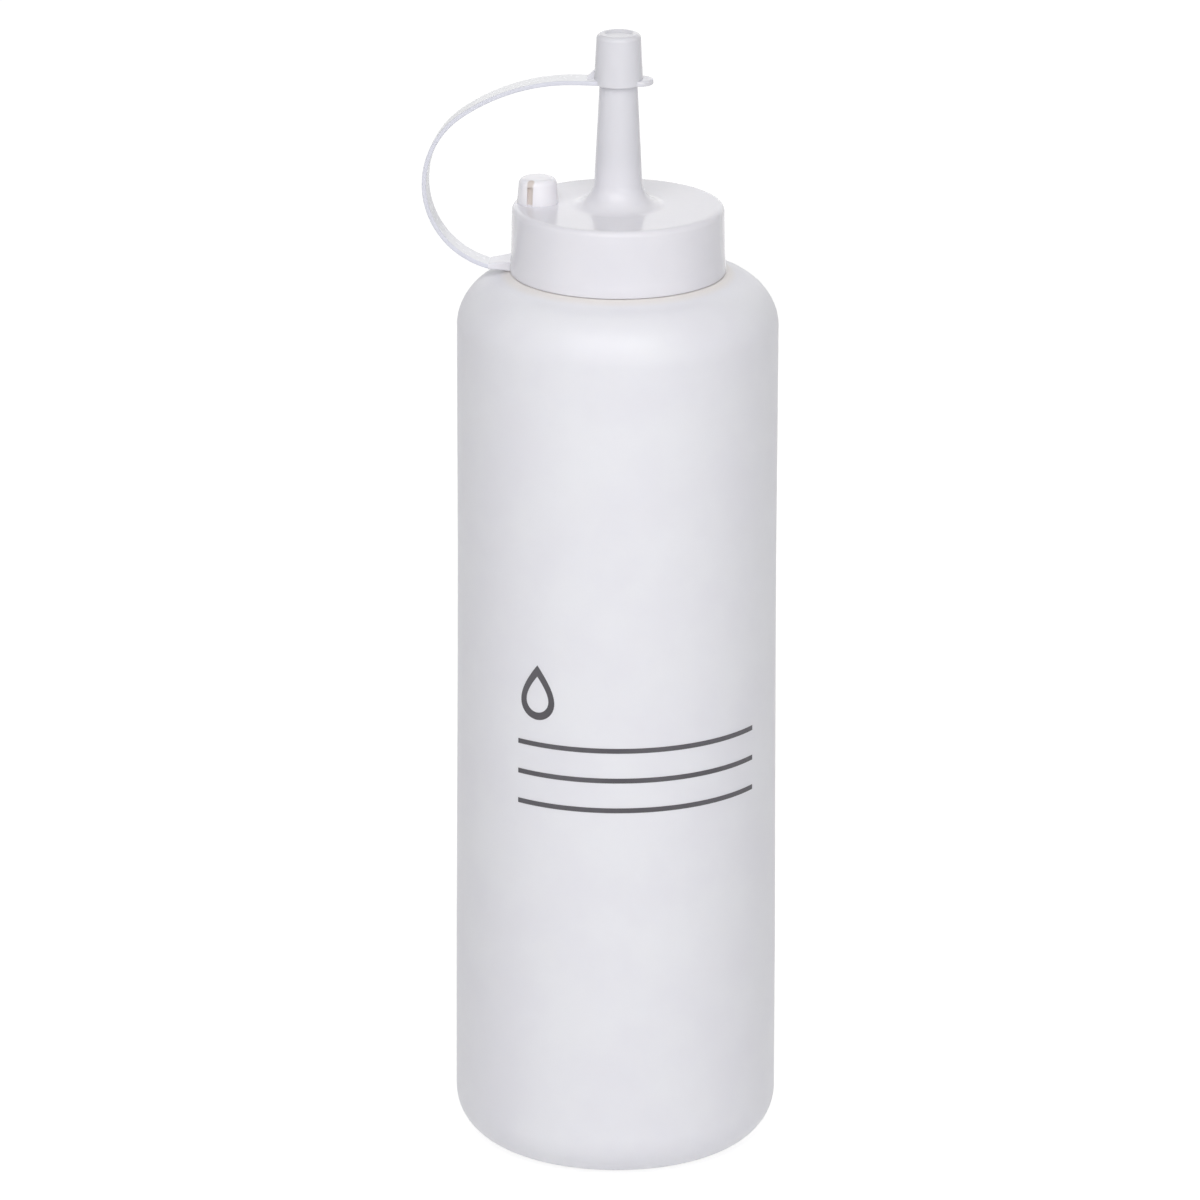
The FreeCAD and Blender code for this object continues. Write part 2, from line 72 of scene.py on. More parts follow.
def turn_rings(name, rings, around, capped=False):
    """Pulls a circle through rings of (radius, height) in mm. Capped fills the first ring."""
    bpy.ops.object.select_all(action="DESELECT")
    radius, height = rings[0]
    fill = "TRIFAN" if capped else "NOTHING"
    bpy.ops.mesh.primitive_circle_add(vertices=around, radius=radius * MM, fill_type=fill)
    piece = start_piece(name)
    bpy.ops.mesh.select_mode(type="EDGE")
    bpy.ops.mesh.select_all(action="SELECT")
    bpy.ops.transform.translate(value=(0, 0, height * MM))
    if capped:
        bpy.ops.mesh.region_to_loop()
    for wide, high in rings[1:]:
        climb = (0, 0, (high - height) * MM)
        bpy.ops.mesh.extrude_edges_move(TRANSFORM_OT_translate={"value": climb})
        share = wide / radius
        bpy.ops.transform.resize(value=(share, share, 1), center_override=ORIGIN)
        radius, height = wide, high
    return piece


def close_at_centre():
    """Draws the last ring in to one point on the axis."""
    bpy.ops.mesh.extrude_edges_move(TRANSFORM_OT_translate={"value": ORIGIN})
    bpy.ops.mesh.merge(type="CENTER")


def face_outwards():
    """Points every face of the piece that is being edited outwards."""
    bpy.ops.mesh.select_all(action="SELECT")
    bpy.ops.mesh.normals_make_consistent(inside=False)


# %% [markdown]
# ## Picking, rounding and finishing
# By hand one would click a ring and bevel it. A script picks the same ring by where it lies. A finished
# piece has no doubled points, faces that look outwards, and shading that is smooth up to a crease.
# Where a moulding has a thread, a post or a tab, a Boolean union joins the extra solid to it, which
# leaves one closed skin, as the real moulding has.

# %% Pick edges and faces
NEAR = 0.02


def pick_edges(piece, wanted):
    """Selects the edges whose two ends, in mm, are wanted."""
    bpy.ops.mesh.select_mode(type="EDGE")
    bpy.ops.mesh.select_all(action="DESELECT")
    shape = bmesh.from_edit_mesh(piece.data)
    picked = [edge for edge in shape.edges if wanted(*[v.co / MM for v in edge.verts])]
    for edge in picked:
        edge.select_set(True)
    bmesh.update_edit_mesh(piece.data)
    return len(picked)


def pick_faces(piece, wanted):
    """Selects the faces whose middle, in mm, and normal are wanted."""
    bpy.ops.mesh.select_mode(type="FACE")
    bpy.ops.mesh.select_all(action="DESELECT")
    shape = bmesh.from_edit_mesh(piece.data)
    picked = [face for face in shape.faces if wanted(face.calc_center_median() / MM, face.normal)]
    for face in picked:
        face.select_set(True)
    bmesh.update_edit_mesh(piece.data)
    return len(picked)


# %% [markdown]
# ### Rounding and joining
# These are the small steps that every piece below goes through, each with one operator at its heart.

# %% Round, close and join
DOUBLE = 0.0005
CREASE = 35


def bevel_picked(reach, steps):
    """Rounds the selected edges, reach mm to each side."""
    bpy.ops.mesh.bevel(offset=reach * MM, segments=steps, profile=0.5, affect="EDGES")


def round_ring(piece, radius, height, reach, steps):
    """Bevels the ring at that radius and height, reach mm to each side."""

    def on_ring(*ends):
        return all(abs(p.xy.length - radius) < NEAR and abs(p.z - height) < NEAR for p in ends)

    if not pick_edges(piece, on_ring):
        raise RuntimeError(f"{piece.name} has no ring at {radius}, {height}")
    bevel_picked(reach, steps)


def close_piece(piece):
    """Merges doubles, points every face outwards and smooths the shading up to a crease."""
    bpy.ops.mesh.select_all(action="SELECT")
    bpy.ops.mesh.remove_doubles(threshold=DOUBLE * MM)
    face_outwards()
    bpy.ops.object.mode_set(mode="OBJECT")
    bpy.ops.object.shade_smooth_by_angle(angle=radians(CREASE))
    print(piece.name, "faces", len(piece.data.polygons))
    return piece


def activate(piece):
    """Makes the piece the only selected object and the active one."""
    bpy.ops.object.select_all(action="DESELECT")
    piece.select_set(True)
    bpy.context.view_layer.objects.active = piece


def apply_modifier(piece, kind, **settings):
    """Adds one modifier with its settings and applies it."""
    activate(piece)
    modifier = piece.modifiers.new(kind.lower(), kind)
    for name, setting in settings.items():
        setattr(modifier, name, setting)
    bpy.ops.object.modifier_apply(modifier=modifier.name)


def unite(piece, extra):
    """Makes one closed skin of the piece and an extra solid."""
    apply_modifier(piece, "BOOLEAN", operation="UNION", solver="EXACT", object=extra)
    bpy.data.objects.remove(extra)


def smooth_shading(piece, crease=CREASE):
    """Smooths the shading up to a crease, and keeps the large faces flat beside small rounds."""
    activate(piece)
    bpy.ops.object.shade_smooth_by_angle(angle=radians(crease))
    apply_modifier(piece, "WEIGHTED_NORMAL", keep_sharp=True)
    print(piece.name, "finished:", len(piece.data.polygons), "faces")


# %% [markdown]
# ## The bottle
# The real bottle is blown: a pushed-up base on a foot ring, a big round base corner, a wall that is a
# touch narrower at the middle than at its ends, and a round shoulder that slopes up to the neck.
# The rings run from the middle of the base up the outside, over the lip and back down the inside, so the
# wall has its thickness and the neck is really open.

# %% The bottle's rings
BASE_RADIUS, BODY_RADIUS, WALL = 35.5, 34.9, 1.2
FOOT_INNER, PUSH_UP, BASE_ROUND = 22.3, 2.5, 10.2
SHOULDER_Z, LEDGE_RADIUS, SLOPE = 198.0, 23.95, radians(18)
RISE_RADIUS, SEAT_RADIUS, SEAT_Z = 25.8, 23.65, 198.57
SHOULDER_REACH = 7.78
NECK_RADIUS, NECK_BORE, LIP_Z = 19.85, 18.35, 210.1
WAIST = [(35.38, 45), (35.14, 80), (34.95, 110), (34.85, 135), (34.88, 162)]
DOME_STEPS = [4, 10, 16]
DOME = (FOOT_INNER**2 + PUSH_UP**2) / (2 * PUSH_UP)
SHOULDER_CORNER_Z = SHOULDER_Z - (BODY_RADIUS - LEDGE_RADIUS) * tan(SLOPE)
RISE_Z = SHOULDER_Z - (RISE_RADIUS - LEDGE_RADIUS) * tan(SLOPE)
INNER_CORNER_Z, INNER_LEDGE = SHOULDER_CORNER_Z - 0.9, LEDGE_RADIUS - 0.2
BOTTLE_SIDES = 128


def dome_ring(radius, lift):
    """A ring of the pushed-up base."""
    return radius, PUSH_UP + lift - DOME + sqrt(DOME**2 - radius**2)


outside = [dome_ring(radius, 0) for radius in DOME_STEPS]
outside += [(FOOT_INNER, 0), (BASE_RADIUS, 0)] + WAIST
outside += [(BODY_RADIUS, SHOULDER_CORNER_Z), (RISE_RADIUS, RISE_Z), (SEAT_RADIUS, SEAT_Z)]
outside += [(NECK_RADIUS, SEAT_Z), (NECK_RADIUS, LIP_Z), (NECK_BORE, LIP_Z)]
inside = [(NECK_BORE, SHOULDER_Z - WALL), (INNER_LEDGE, SHOULDER_Z - WALL)]
inside += [(BODY_RADIUS - WALL, INNER_CORNER_Z)]
inside += [(radius - WALL, height) for radius, height in reversed(WAIST)]
inside += [(BASE_RADIUS - WALL, WALL), (FOOT_INNER, WALL)]
inside += [dome_ring(radius, WALL) for radius in reversed(DOME_STEPS)]
bottle = turn_rings("bottle_body", outside + inside, BOTTLE_SIDES, capped=True)
close_at_centre()
face_outwards()
print("bottle rings:", len(outside), "outside,", len(inside), "inside")

# %% [markdown]
# ### The bottle's corners
# A blown wall has no sharp corner. Each row of the table is one ring: its radius and height, how far the
# bevel reaches to each side, and in how many steps. The corners inside are rounded too, because the
# wall keeps its thickness there.

# %% Round the bottle's corners
for radius, height, reach, steps in [
    (BASE_RADIUS, 0, BASE_ROUND, 14),
    (BODY_RADIUS, SHOULDER_CORNER_Z, SHOULDER_REACH, 14),
    (RISE_RADIUS, RISE_Z, 1.1, 4),
    (SEAT_RADIUS, SEAT_Z, 0.25, 3),
    (NECK_RADIUS, SEAT_Z, 0.6, 4),
    (NECK_RADIUS, LIP_Z, 0.3, 3),
    (NECK_BORE, LIP_Z, 0.3, 3),
    (FOOT_INNER, 0, 1.0, 4),
    (BODY_RADIUS - WALL, INNER_CORNER_Z, 6.8, 8),
    (BASE_RADIUS - WALL, WALL, 9.0, 8),
]:
    round_ring(bottle, radius, height, reach, steps)
close_piece(bottle)

# %% [markdown]
# ## Threads
# The neck carries a right-handed ridge of one and a quarter turns, and the cap one just like it inside
# its skirt. A Screw modifier carries a small section round the axis while it climbs. The section is a
# plane that is stood up and narrowed at its crest, and the two open ends are filled afterwards.

# %% Wind a ridge
PITCH, TURNS, CREST, FLANK = 4.2, 1.25, 0.8, tan(radians(25))
NECK_RIDGE_Z, CAP_RIDGE_Z, RIDGE_DEPTH, RIDGE_SUNK = 202.5, 201.03, 1.2, 0.2
RIDGE_STEPS = 120


def wind_ridge(name, root, crest, height):
    """A ridge that climbs from that height, with its root and crest at these radii in mm."""
    depth = abs(crest - root)
    foot = CREST + 2 * depth * FLANK
    bpy.ops.object.select_all(action="DESELECT")
    bpy.ops.mesh.primitive_plane_add(size=MM)
    piece = start_piece(name)
    bpy.ops.mesh.delete(type="ONLY_FACE")
    bpy.ops.mesh.select_all(action="SELECT")
    bpy.ops.transform.rotate(value=pi / 2, orient_axis="X", center_override=ORIGIN)
    bpy.ops.transform.resize(value=(depth, 1, foot), center_override=ORIGIN)
    middle = ((root + crest) / 2 * MM, 0, height * MM)
    bpy.ops.transform.translate(value=middle)
    pick_edges(piece, lambda a, b: abs(a.x - crest) < NEAR and abs(b.x - crest) < NEAR)
    bpy.ops.transform.resize(value=(1, 1, CREST / foot), center_override=middle)
    bpy.ops.object.mode_set(mode="OBJECT")
    apply_modifier(piece, "SCREW", angle=2 * pi * TURNS, screw_offset=PITCH * TURNS * MM,
                   steps=RIDGE_STEPS, render_steps=RIDGE_STEPS)
    bpy.ops.object.mode_set(mode="EDIT")
    bpy.ops.mesh.select_all(action="DESELECT")
    bpy.ops.mesh.select_non_manifold()
    bpy.ops.mesh.fill_holes(sides=4)
    return close_piece(piece)


neck_ridge = wind_ridge("neck_ridge", NECK_RADIUS - RIDGE_SUNK, NECK_RADIUS + RIDGE_DEPTH, NECK_RIDGE_Z)
unite(bottle, neck_ridge)
smooth_shading(bottle)
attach(bottle, "bottle")
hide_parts("bottle")

# %% [markdown]
# ## The screw cap
# Skirt, deck and nozzle are one moulding, so one run of rings makes them: up the skirt with its bead, in
# across the deck, up the nozzle, down its channel and back to the skirt. The big soft fillet at the
# nozzle's foot is a bevel of the sharp corner between deck and nozzle. The first and last rings are
# bridged, because a cap with a channel through it has no end on the axis.

# %% The cap's rings
SKIRT_Z, SKIRT_RADIUS, SKIRT_INNER, SKIRT_TOP = 198.65, 23.15, 21.35, 22.95
BEAD_RADIUS, BEAD_Z, BEAD_END_Z = 23.43, 199.9, 202.4
DECK_Z, CEILING_Z, DECK_OUTER, DECK_INNER = 213.3, 211.3, 21.3, 11.0
NOZZLE_RADIUS, STOP_RADIUS, STOP_Z = 5.45, 4.082, 240.3
TIP_RADIUS, TIP_Z, ORIFICE = 3.3, 247.8, 1.6
FUNNEL_RADIUS, FUNNEL_Z, CHANNEL_RADIUS, CHANNEL_MOUTH = 2.934, 237.3, 4.15, 6.15
CAP_SIDES = 112
cap_rings = [(SKIRT_INNER, SKIRT_Z), (BEAD_RADIUS, SKIRT_Z), (BEAD_RADIUS, BEAD_Z)]
cap_rings += [(SKIRT_RADIUS, BEAD_END_Z), (SKIRT_TOP, DECK_Z)]
cap_rings += [(DECK_OUTER, DECK_Z), (DECK_INNER, DECK_Z), (NOZZLE_RADIUS, DECK_Z)]
cap_rings += [(STOP_RADIUS, STOP_Z), (TIP_RADIUS, STOP_Z), (TIP_RADIUS, TIP_Z), (ORIFICE, TIP_Z)]
cap_rings += [(ORIFICE, STOP_Z), (FUNNEL_RADIUS, FUNNEL_Z), (CHANNEL_RADIUS, DECK_Z)]
cap_rings += [(CHANNEL_MOUTH, CEILING_Z), (SKIRT_INNER, CEILING_Z)]
screw_cap = turn_rings("screw_cap_body", cap_rings, CAP_SIDES)
bpy.ops.mesh.select_all(action="DESELECT")
bpy.ops.mesh.select_non_manifold()
bpy.ops.mesh.bridge_edge_loops()
face_outwards()
print("cap rings:", len(cap_rings))

# %% [markdown]
# ### The cap's corners
# The mould's rounds, one row for each ring as on the bottle. The bead's two bevels leave it as a soft
# swelling of the skirt, and the largest bevel is the nozzle's foot.

# %% Round the cap's corners
for radius, height, reach, steps in [
    (SKIRT_INNER, SKIRT_Z, 0.3, 3),
    (BEAD_RADIUS, SKIRT_Z, 0.2, 3),
    (BEAD_RADIUS, BEAD_Z, 0.9, 5),
    (SKIRT_RADIUS, BEAD_END_Z, 1.1, 5),
    (SKIRT_TOP, DECK_Z, 1.3, 8),
    (NOZZLE_RADIUS, DECK_Z, 5.23, 16),
    (STOP_RADIUS, STOP_Z, 0.15, 3),
    (TIP_RADIUS, TIP_Z, 0.5, 3),
    (ORIFICE, TIP_Z, 0.1, 2),
]:
    round_ring(screw_cap, radius, height, reach, steps)
close_piece(screw_cap)
cap_ridge = wind_ridge("cap_ridge", SKIRT_INNER + RIDGE_SUNK, SKIRT_INNER - RIDGE_DEPTH, CAP_RIDGE_Z)
unite(screw_cap, cap_ridge)

# %% [markdown]
# ## The parking post
# The freed nozzle cap can be pressed onto this short post. It has a soft top edge and one groove down
# its side that lets the air out. The post is turned on the cap's axis and then moved to its place. Two
# columns of its faces, turned to where the groove is, are pushed inwards to cut it.

# %% Turn the post and cut its groove
POST_X, POST_SUNK_Z, POST_TOP_Z, POST_SIDES, POST_ROUND = -17.45, 211.9, 218.9, 40, 1.35
POST_FOOT, POST_LOW, POST_HIGH, POST_TOP = 4.55, 4.49, 4.14, 4.08
GROOVE_LOW, GROOVE_HIGH, GROOVE_DEG, GROOVE_DEPTH = 213.5, 217.5, -108, 0.6
COLUMN = 360 / POST_SIDES
post_rings = [(POST_FOOT, POST_SUNK_Z), (POST_LOW, GROOVE_LOW), (POST_HIGH, GROOVE_HIGH)]
post_rings += [(POST_TOP, POST_TOP_Z)]
post = turn_rings("post", post_rings, POST_SIDES, capped=True)
close_at_centre()
round_ring(post, POST_TOP, POST_TOP_Z, POST_ROUND, 7)
face_outwards()
bpy.ops.transform.rotate(value=-radians(GROOVE_DEG % COLUMN), orient_axis="Z", center_override=ORIGIN)


def in_groove(middle, normal):
    """Faces of the two columns on either side of the groove's middle."""
    turn = (degrees(atan2(middle.y, middle.x)) - GROOVE_DEG + 180) % 360 - 180
    return abs(turn) < COLUMN and GROOVE_LOW < middle.z < GROOVE_HIGH


print("groove faces:", pick_faces(post, in_groove))
bpy.ops.mesh.extrude_region_shrink_fatten(TRANSFORM_OT_shrink_fatten={"value": -GROOVE_DEPTH * MM})
bpy.ops.mesh.select_all(action="SELECT")
bpy.ops.transform.translate(value=(POST_X * MM, 0, 0))
close_piece(post)
unite(screw_cap, post)

# %% [markdown]
# ## The strap's lug
# The strap leaves the skirt's lower edge from a thick lug that flares out to the skirt in a hollow curve.
# A cube is set in the skirt's wall and its outer face is made as small as the strap's end. Its long edges
# are cut into rings, each ring is narrowed to the curve, and the edges are rounded.

# %% Start the lug as a block
LUG_X, LUG_IN_X, LUG_WIDTH, LUG_LOW, LUG_HIGH = -27.95, -22.2, 10.0, 198.65, 201.05
LUG_END_WIDTH, LUG_END_LOW, LUG_END_HIGH = 6.32, 198.8, 199.98
LUG_CUTS, LUG_FLARE, LUG_ROUND = 7, 3, 0.35


def block(name, low, high):
    """A box between two corners in mm, left in edit mode."""
    bpy.ops.object.select_all(action="DESELECT")
    bpy.ops.mesh.primitive_cube_add(size=MM)
    piece = start_piece(name)
    sides = [end - start for start, end in zip(low, high)]
    middle = [(start + end) / 2 * MM for start, end in zip(low, high)]
    bpy.ops.transform.resize(value=sides, center_override=ORIGIN)
    bpy.ops.transform.translate(value=middle)
    return piece


def runs_outwards(a, b):
    """A block's long edge, which runs away from the axis."""
    return abs(a.x - b.x) > 1


lug = block("lug", (LUG_X, -LUG_WIDTH / 2, LUG_LOW), (LUG_IN_X, LUG_WIDTH / 2, LUG_HIGH))
pick_faces(lug, lambda middle, normal: normal.x < -0.9)
end_middle = (LUG_X * MM, 0, (LUG_LOW + LUG_HIGH) / 2 * MM)
narrower = (1, LUG_END_WIDTH / LUG_WIDTH, (LUG_END_HIGH - LUG_END_LOW) / (LUG_HIGH - LUG_LOW))
bpy.ops.transform.resize(value=narrower, center_override=end_middle)
drop = (LUG_END_LOW + LUG_END_HIGH - LUG_LOW - LUG_HIGH) / 2
bpy.ops.transform.translate(value=(0, 0, drop * MM))
print("lug tapers to", LUG_END_WIDTH, "mm")

# %% [markdown]
# ### The lug's flare
# A straight taper would look like a wedge. The share of the widening grows with the cube of the way to
# the skirt, so the lug stays slim beside the strap and opens only at the skirt.

# %% Flare the lug and join it
pick_edges(lug, runs_outwards)
bpy.ops.mesh.subdivide(number_cuts=LUG_CUTS)
lug_rings = sorted({round(v.co.x / MM, 3) for v in bmesh.from_edit_mesh(lug.data).verts})
for ring_x in lug_rings[1:-1]:
    share = (ring_x - LUG_X) / (LUG_IN_X - LUG_X)
    straight = LUG_END_WIDTH + (LUG_WIDTH - LUG_END_WIDTH) * share
    hollow = LUG_END_WIDTH + (LUG_WIDTH - LUG_END_WIDTH) * share**LUG_FLARE
    pick_edges(lug, lambda a, b: abs(a.x - ring_x) < NEAR and abs(b.x - ring_x) < NEAR)
    bpy.ops.transform.resize(value=(1, hollow / straight, 1), center_override=ORIGIN)
pick_edges(lug, lambda a, b: abs(a.x - b.x) > 0.3 and a.y * b.y > 0)
bevel_picked(LUG_ROUND, 4)
close_piece(lug)
unite(screw_cap, lug)
smooth_shading(screw_cap)
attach(screw_cap, "closure")
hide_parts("screw_cap")

# %% [markdown]
# ## The strap
# The strap is a flat band, bent in a loop of three arcs that run into each other: a low tight one by the
# lug, one up the side, and a wide one over the top. The band's section is a plane with its corners
# rounded. It is extruded along the short straight run and then spun about the centre of each arc.

# %% Sweep the band
STRAP_WIDTH, STRAP_THICK, STRAP_ROUND, STRAP_CREASE = 6.2, 0.95, 0.22, 50
BEND_X, STRAP_LEFT, STRAP_LEFT_Z, STRAP_START_X = -8.9, -42.35, 217.2, -4.0
LOW_ARC, SIDE_ARC, LOW_SWEEP = 18.85, 19.6, radians(77.2)
STRAP_TOP = STOP_Z + STRAP_THICK
SPAN, RISE = BEND_X - STRAP_LEFT - SIDE_ARC, STRAP_TOP - STRAP_LEFT_Z
TOP_ARC = (SPAN**2 + RISE**2 - SIDE_ARC**2) / (2 * (RISE - SIDE_ARC))
TOP_SWEEP = asin(SPAN / (TOP_ARC - SIDE_ARC))
bpy.ops.object.select_all(action="DESELECT")
bpy.ops.mesh.primitive_plane_add(size=MM)
strap = start_piece("strap_band")
bpy.ops.transform.rotate(value=pi / 2, orient_axis="Y", center_override=ORIGIN)
bpy.ops.transform.resize(value=(1, STRAP_WIDTH, STRAP_THICK), center_override=ORIGIN)
bpy.ops.mesh.bevel(offset=STRAP_ROUND * MM, segments=3, affect="VERTICES")
bpy.ops.transform.translate(value=(STRAP_START_X * MM, 0, (STOP_Z + STRAP_THICK / 2) * MM))
bpy.ops.mesh.select_all(action="SELECT")
run = ((BEND_X - STRAP_START_X) * MM, 0, 0)
bpy.ops.mesh.extrude_region_move(TRANSFORM_OT_translate={"value": run})
for centre_x, centre_z, sweep, steps in [
    (BEND_X, STRAP_TOP - TOP_ARC, TOP_SWEEP, 24),
    (STRAP_LEFT + SIDE_ARC, STRAP_LEFT_Z, pi / 2 - TOP_SWEEP, 28),
    (STRAP_LEFT + LOW_ARC, STRAP_LEFT_Z, LOW_SWEEP, 36),
]:
    centre = (centre_x * MM, 0, centre_z * MM)
    bpy.ops.mesh.spin(steps=steps, angle=sweep, center=centre, axis=(0, 1, 0))
close_piece(strap)
smooth_shading(strap, STRAP_CREASE)
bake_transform(strap)
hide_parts("cap_strap")

# %% [markdown]
# ## The nozzle cap
# A small tapered thimble with a soft top edge and a shallow dish in its top. Inside is a plug that fits
# the orifice. The rings run from the plug's end, round the bore and up the outside to the dish.

# %% Turn the thimble
CAP_TOP_Z, PLUG_Z, BORE_TOP_Z = 251.3, 245.8, 248.2
PLUG_RADIUS, BORE_RADIUS, CAP_FOOT, CAP_TOP = 1.5, 3.38, 5.3, 4.75
DISH_RADIUS, DISH_FLOOR, DISH_Z = 3.2, 2.7, CAP_TOP_Z - 0.5
THIMBLE_SIDES = 72
thimble_rings = [(PLUG_RADIUS, PLUG_Z), (PLUG_RADIUS, BORE_TOP_Z), (BORE_RADIUS, BORE_TOP_Z)]
thimble_rings += [(BORE_RADIUS, STOP_Z), (CAP_FOOT, STOP_Z), (CAP_TOP, CAP_TOP_Z)]
thimble_rings += [(DISH_RADIUS, CAP_TOP_Z), (DISH_FLOOR, DISH_Z)]
nozzle_cap = turn_rings("nozzle_cap_body", thimble_rings, THIMBLE_SIDES, capped=True)
close_at_centre()
for radius, height, reach, steps in [
    (BORE_RADIUS, STOP_Z, 0.15, 2),
    (CAP_FOOT, STOP_Z, 0.2, 3),
    (CAP_TOP, CAP_TOP_Z, 1.05, 8),
    (DISH_RADIUS, CAP_TOP_Z, 0.3, 3),
    (DISH_FLOOR, DISH_Z, 0.35, 3),
]:
    round_ring(nozzle_cap, radius, height, reach, steps)
close_piece(nozzle_cap)

# %% [markdown]
# ### Stub, web and tab
# The strap's end runs into a stub on the thimble, with a small web above it that keeps it from tearing.
# A round tab opposite is what a thumb lifts. The stub and the web are blocks with bevelled edges, and
# the tab is turned like the post. All three reach into the thimble's wall before they are joined.

# %% Add the stub, the web and the tab
TAB_RADIUS, TAB_TOP, TAB_X, TAB_THICK, TAB_SIDES = 3.1, 2.0, 4.4, 1.1, 40
WEB_X, WEB_FOOT_X, WEB_FOOT_Z, WEB_TOP_Z, WEB_THICK = -5.3, -6.7, STOP_Z + 0.2, 243.05, 1.6
STUB_X, STUB_IN, INSIDE_X = -8.0, 0.03, -3.7
stub_side = STRAP_WIDTH / 2 - STUB_IN
stub_low, stub_high = STOP_Z + STUB_IN, STRAP_TOP - STUB_IN
stub = block("stub", (STUB_X, -stub_side, stub_low), (INSIDE_X, stub_side, stub_high))
pick_edges(stub, runs_outwards)
bevel_picked(STRAP_ROUND, 3)
close_piece(stub)


def on_web_corner(*ends):
    """The web's upper edge on the strap's side."""
    return all(p.x < WEB_FOOT_X + NEAR and p.z > WEB_TOP_Z - NEAR for p in ends)


web = block("web", (WEB_FOOT_X, -WEB_THICK / 2, WEB_FOOT_Z), (INSIDE_X, WEB_THICK / 2, WEB_TOP_Z))
pick_edges(web, on_web_corner)
bevel_picked(WEB_X - WEB_FOOT_X, 1)
close_piece(web)
tab_top_z = STOP_Z + TAB_THICK
tab_rings = [(TAB_RADIUS, STOP_Z), (TAB_RADIUS, tab_top_z), (TAB_TOP, tab_top_z)]
tab = turn_rings("tab", tab_rings, TAB_SIDES, capped=True)
close_at_centre()
round_ring(tab, TAB_RADIUS, tab_top_z, 0.3, 4)
round_ring(tab, TAB_RADIUS, STOP_Z, 0.2, 3)
bpy.ops.mesh.select_all(action="SELECT")
bpy.ops.transform.translate(value=(TAB_X * MM, 0, 0))
close_piece(tab)
for extra in (stub, web, tab):
    unite(nozzle_cap, extra)
smooth_shading(nozzle_cap)
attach(nozzle_cap, "nozzle_cap")
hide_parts("nozzle_cap")

# %% [markdown]
# ## The print
# The bottle has a plain screen print: a drop, and three rules to write the sauce's name on. A print is
# a film of ink, so it is a very thin solid on the wall. Each rule is a tiny section spun round the
# bottle's axis, at the radius that the waist has at that height.

# %% Spin the rules
INK_PROUD, RULE_THICK, RULE_START, RULE_SWEEP, RULE_STEPS = 0.04, 1.1, -32, 95, 72
RULE_HEIGHTS = (100.5, 93.7, 86.9)


def wall_radius(height):
    """The bottle's radius in mm at a height between two of its waist's rings."""
    for (low_radius, low), (high_radius, high) in zip(WAIST, WAIST[1:]):
        if low <= height <= high:
            return low_radius + (high_radius - low_radius) * (height - low) / (high - low)


def ink_rule(name, height):
    """One rule round the wall at that height in mm."""
    bpy.ops.object.select_all(action="DESELECT")
    bpy.ops.mesh.primitive_plane_add(size=MM)
    piece = start_piece(name)
    bpy.ops.transform.rotate(value=pi / 2, orient_axis="Y", center_override=ORIGIN)
    bpy.ops.transform.resize(value=(1, 2 * INK_PROUD, RULE_THICK), center_override=ORIGIN)
    bpy.ops.transform.translate(value=(0, -wall_radius(height) * MM, height * MM))
    bpy.ops.transform.rotate(value=-radians(RULE_START), orient_axis="Z", center_override=ORIGIN)
    bpy.ops.mesh.select_all(action="SELECT")
    bpy.ops.mesh.spin(steps=RULE_STEPS, angle=-radians(RULE_SWEEP), center=ORIGIN, axis=(0, 0, 1))
    close_piece(piece)
    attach(piece, "bottle")
    return piece


ink_pieces = [ink_rule(f"print_rule_{n}", z) for n, z in enumerate(RULE_HEIGHTS, start=1)]

# %% [markdown]
# ### The drop
# The drop is an outline. A circle's top point is pulled up with proportional editing, which draws the
# upper half out to a tip. Rings extruded inwards give the stroke its width. The flat outline is
# projected on the wall, given the ink's thickness, and turned to its place.

# %% Draw the drop
DROP_WIDE, DROP_Z, DROP_TALL, DROP_TURN, DROP_SIDES = 4.1, 110.2, 12.4, -24, 64
DROP_PULL, DROP_CENTRE_Z = 1.6 * DROP_WIDE, 0.2 * DROP_WIDE
STROKE_SHARES = (0.92, 0.84, 0.75, 0.66)


def pull_tip(piece):
    """Draws the circle's upper half out to a tip."""
    bpy.ops.mesh.select_mode(type="VERT")
    bpy.ops.mesh.select_all(action="DESELECT")
    shape = bmesh.from_edit_mesh(piece.data)
    max(shape.verts, key=lambda v: v.co.z).select_set(True)
    bmesh.update_edit_mesh(piece.data)
    bpy.ops.transform.translate(value=(0, 0, (DROP_TALL - 2 * DROP_WIDE) * MM), use_proportional_edit=True,
                                proportional_edit_falloff="SHARP", proportional_size=DROP_PULL * MM)


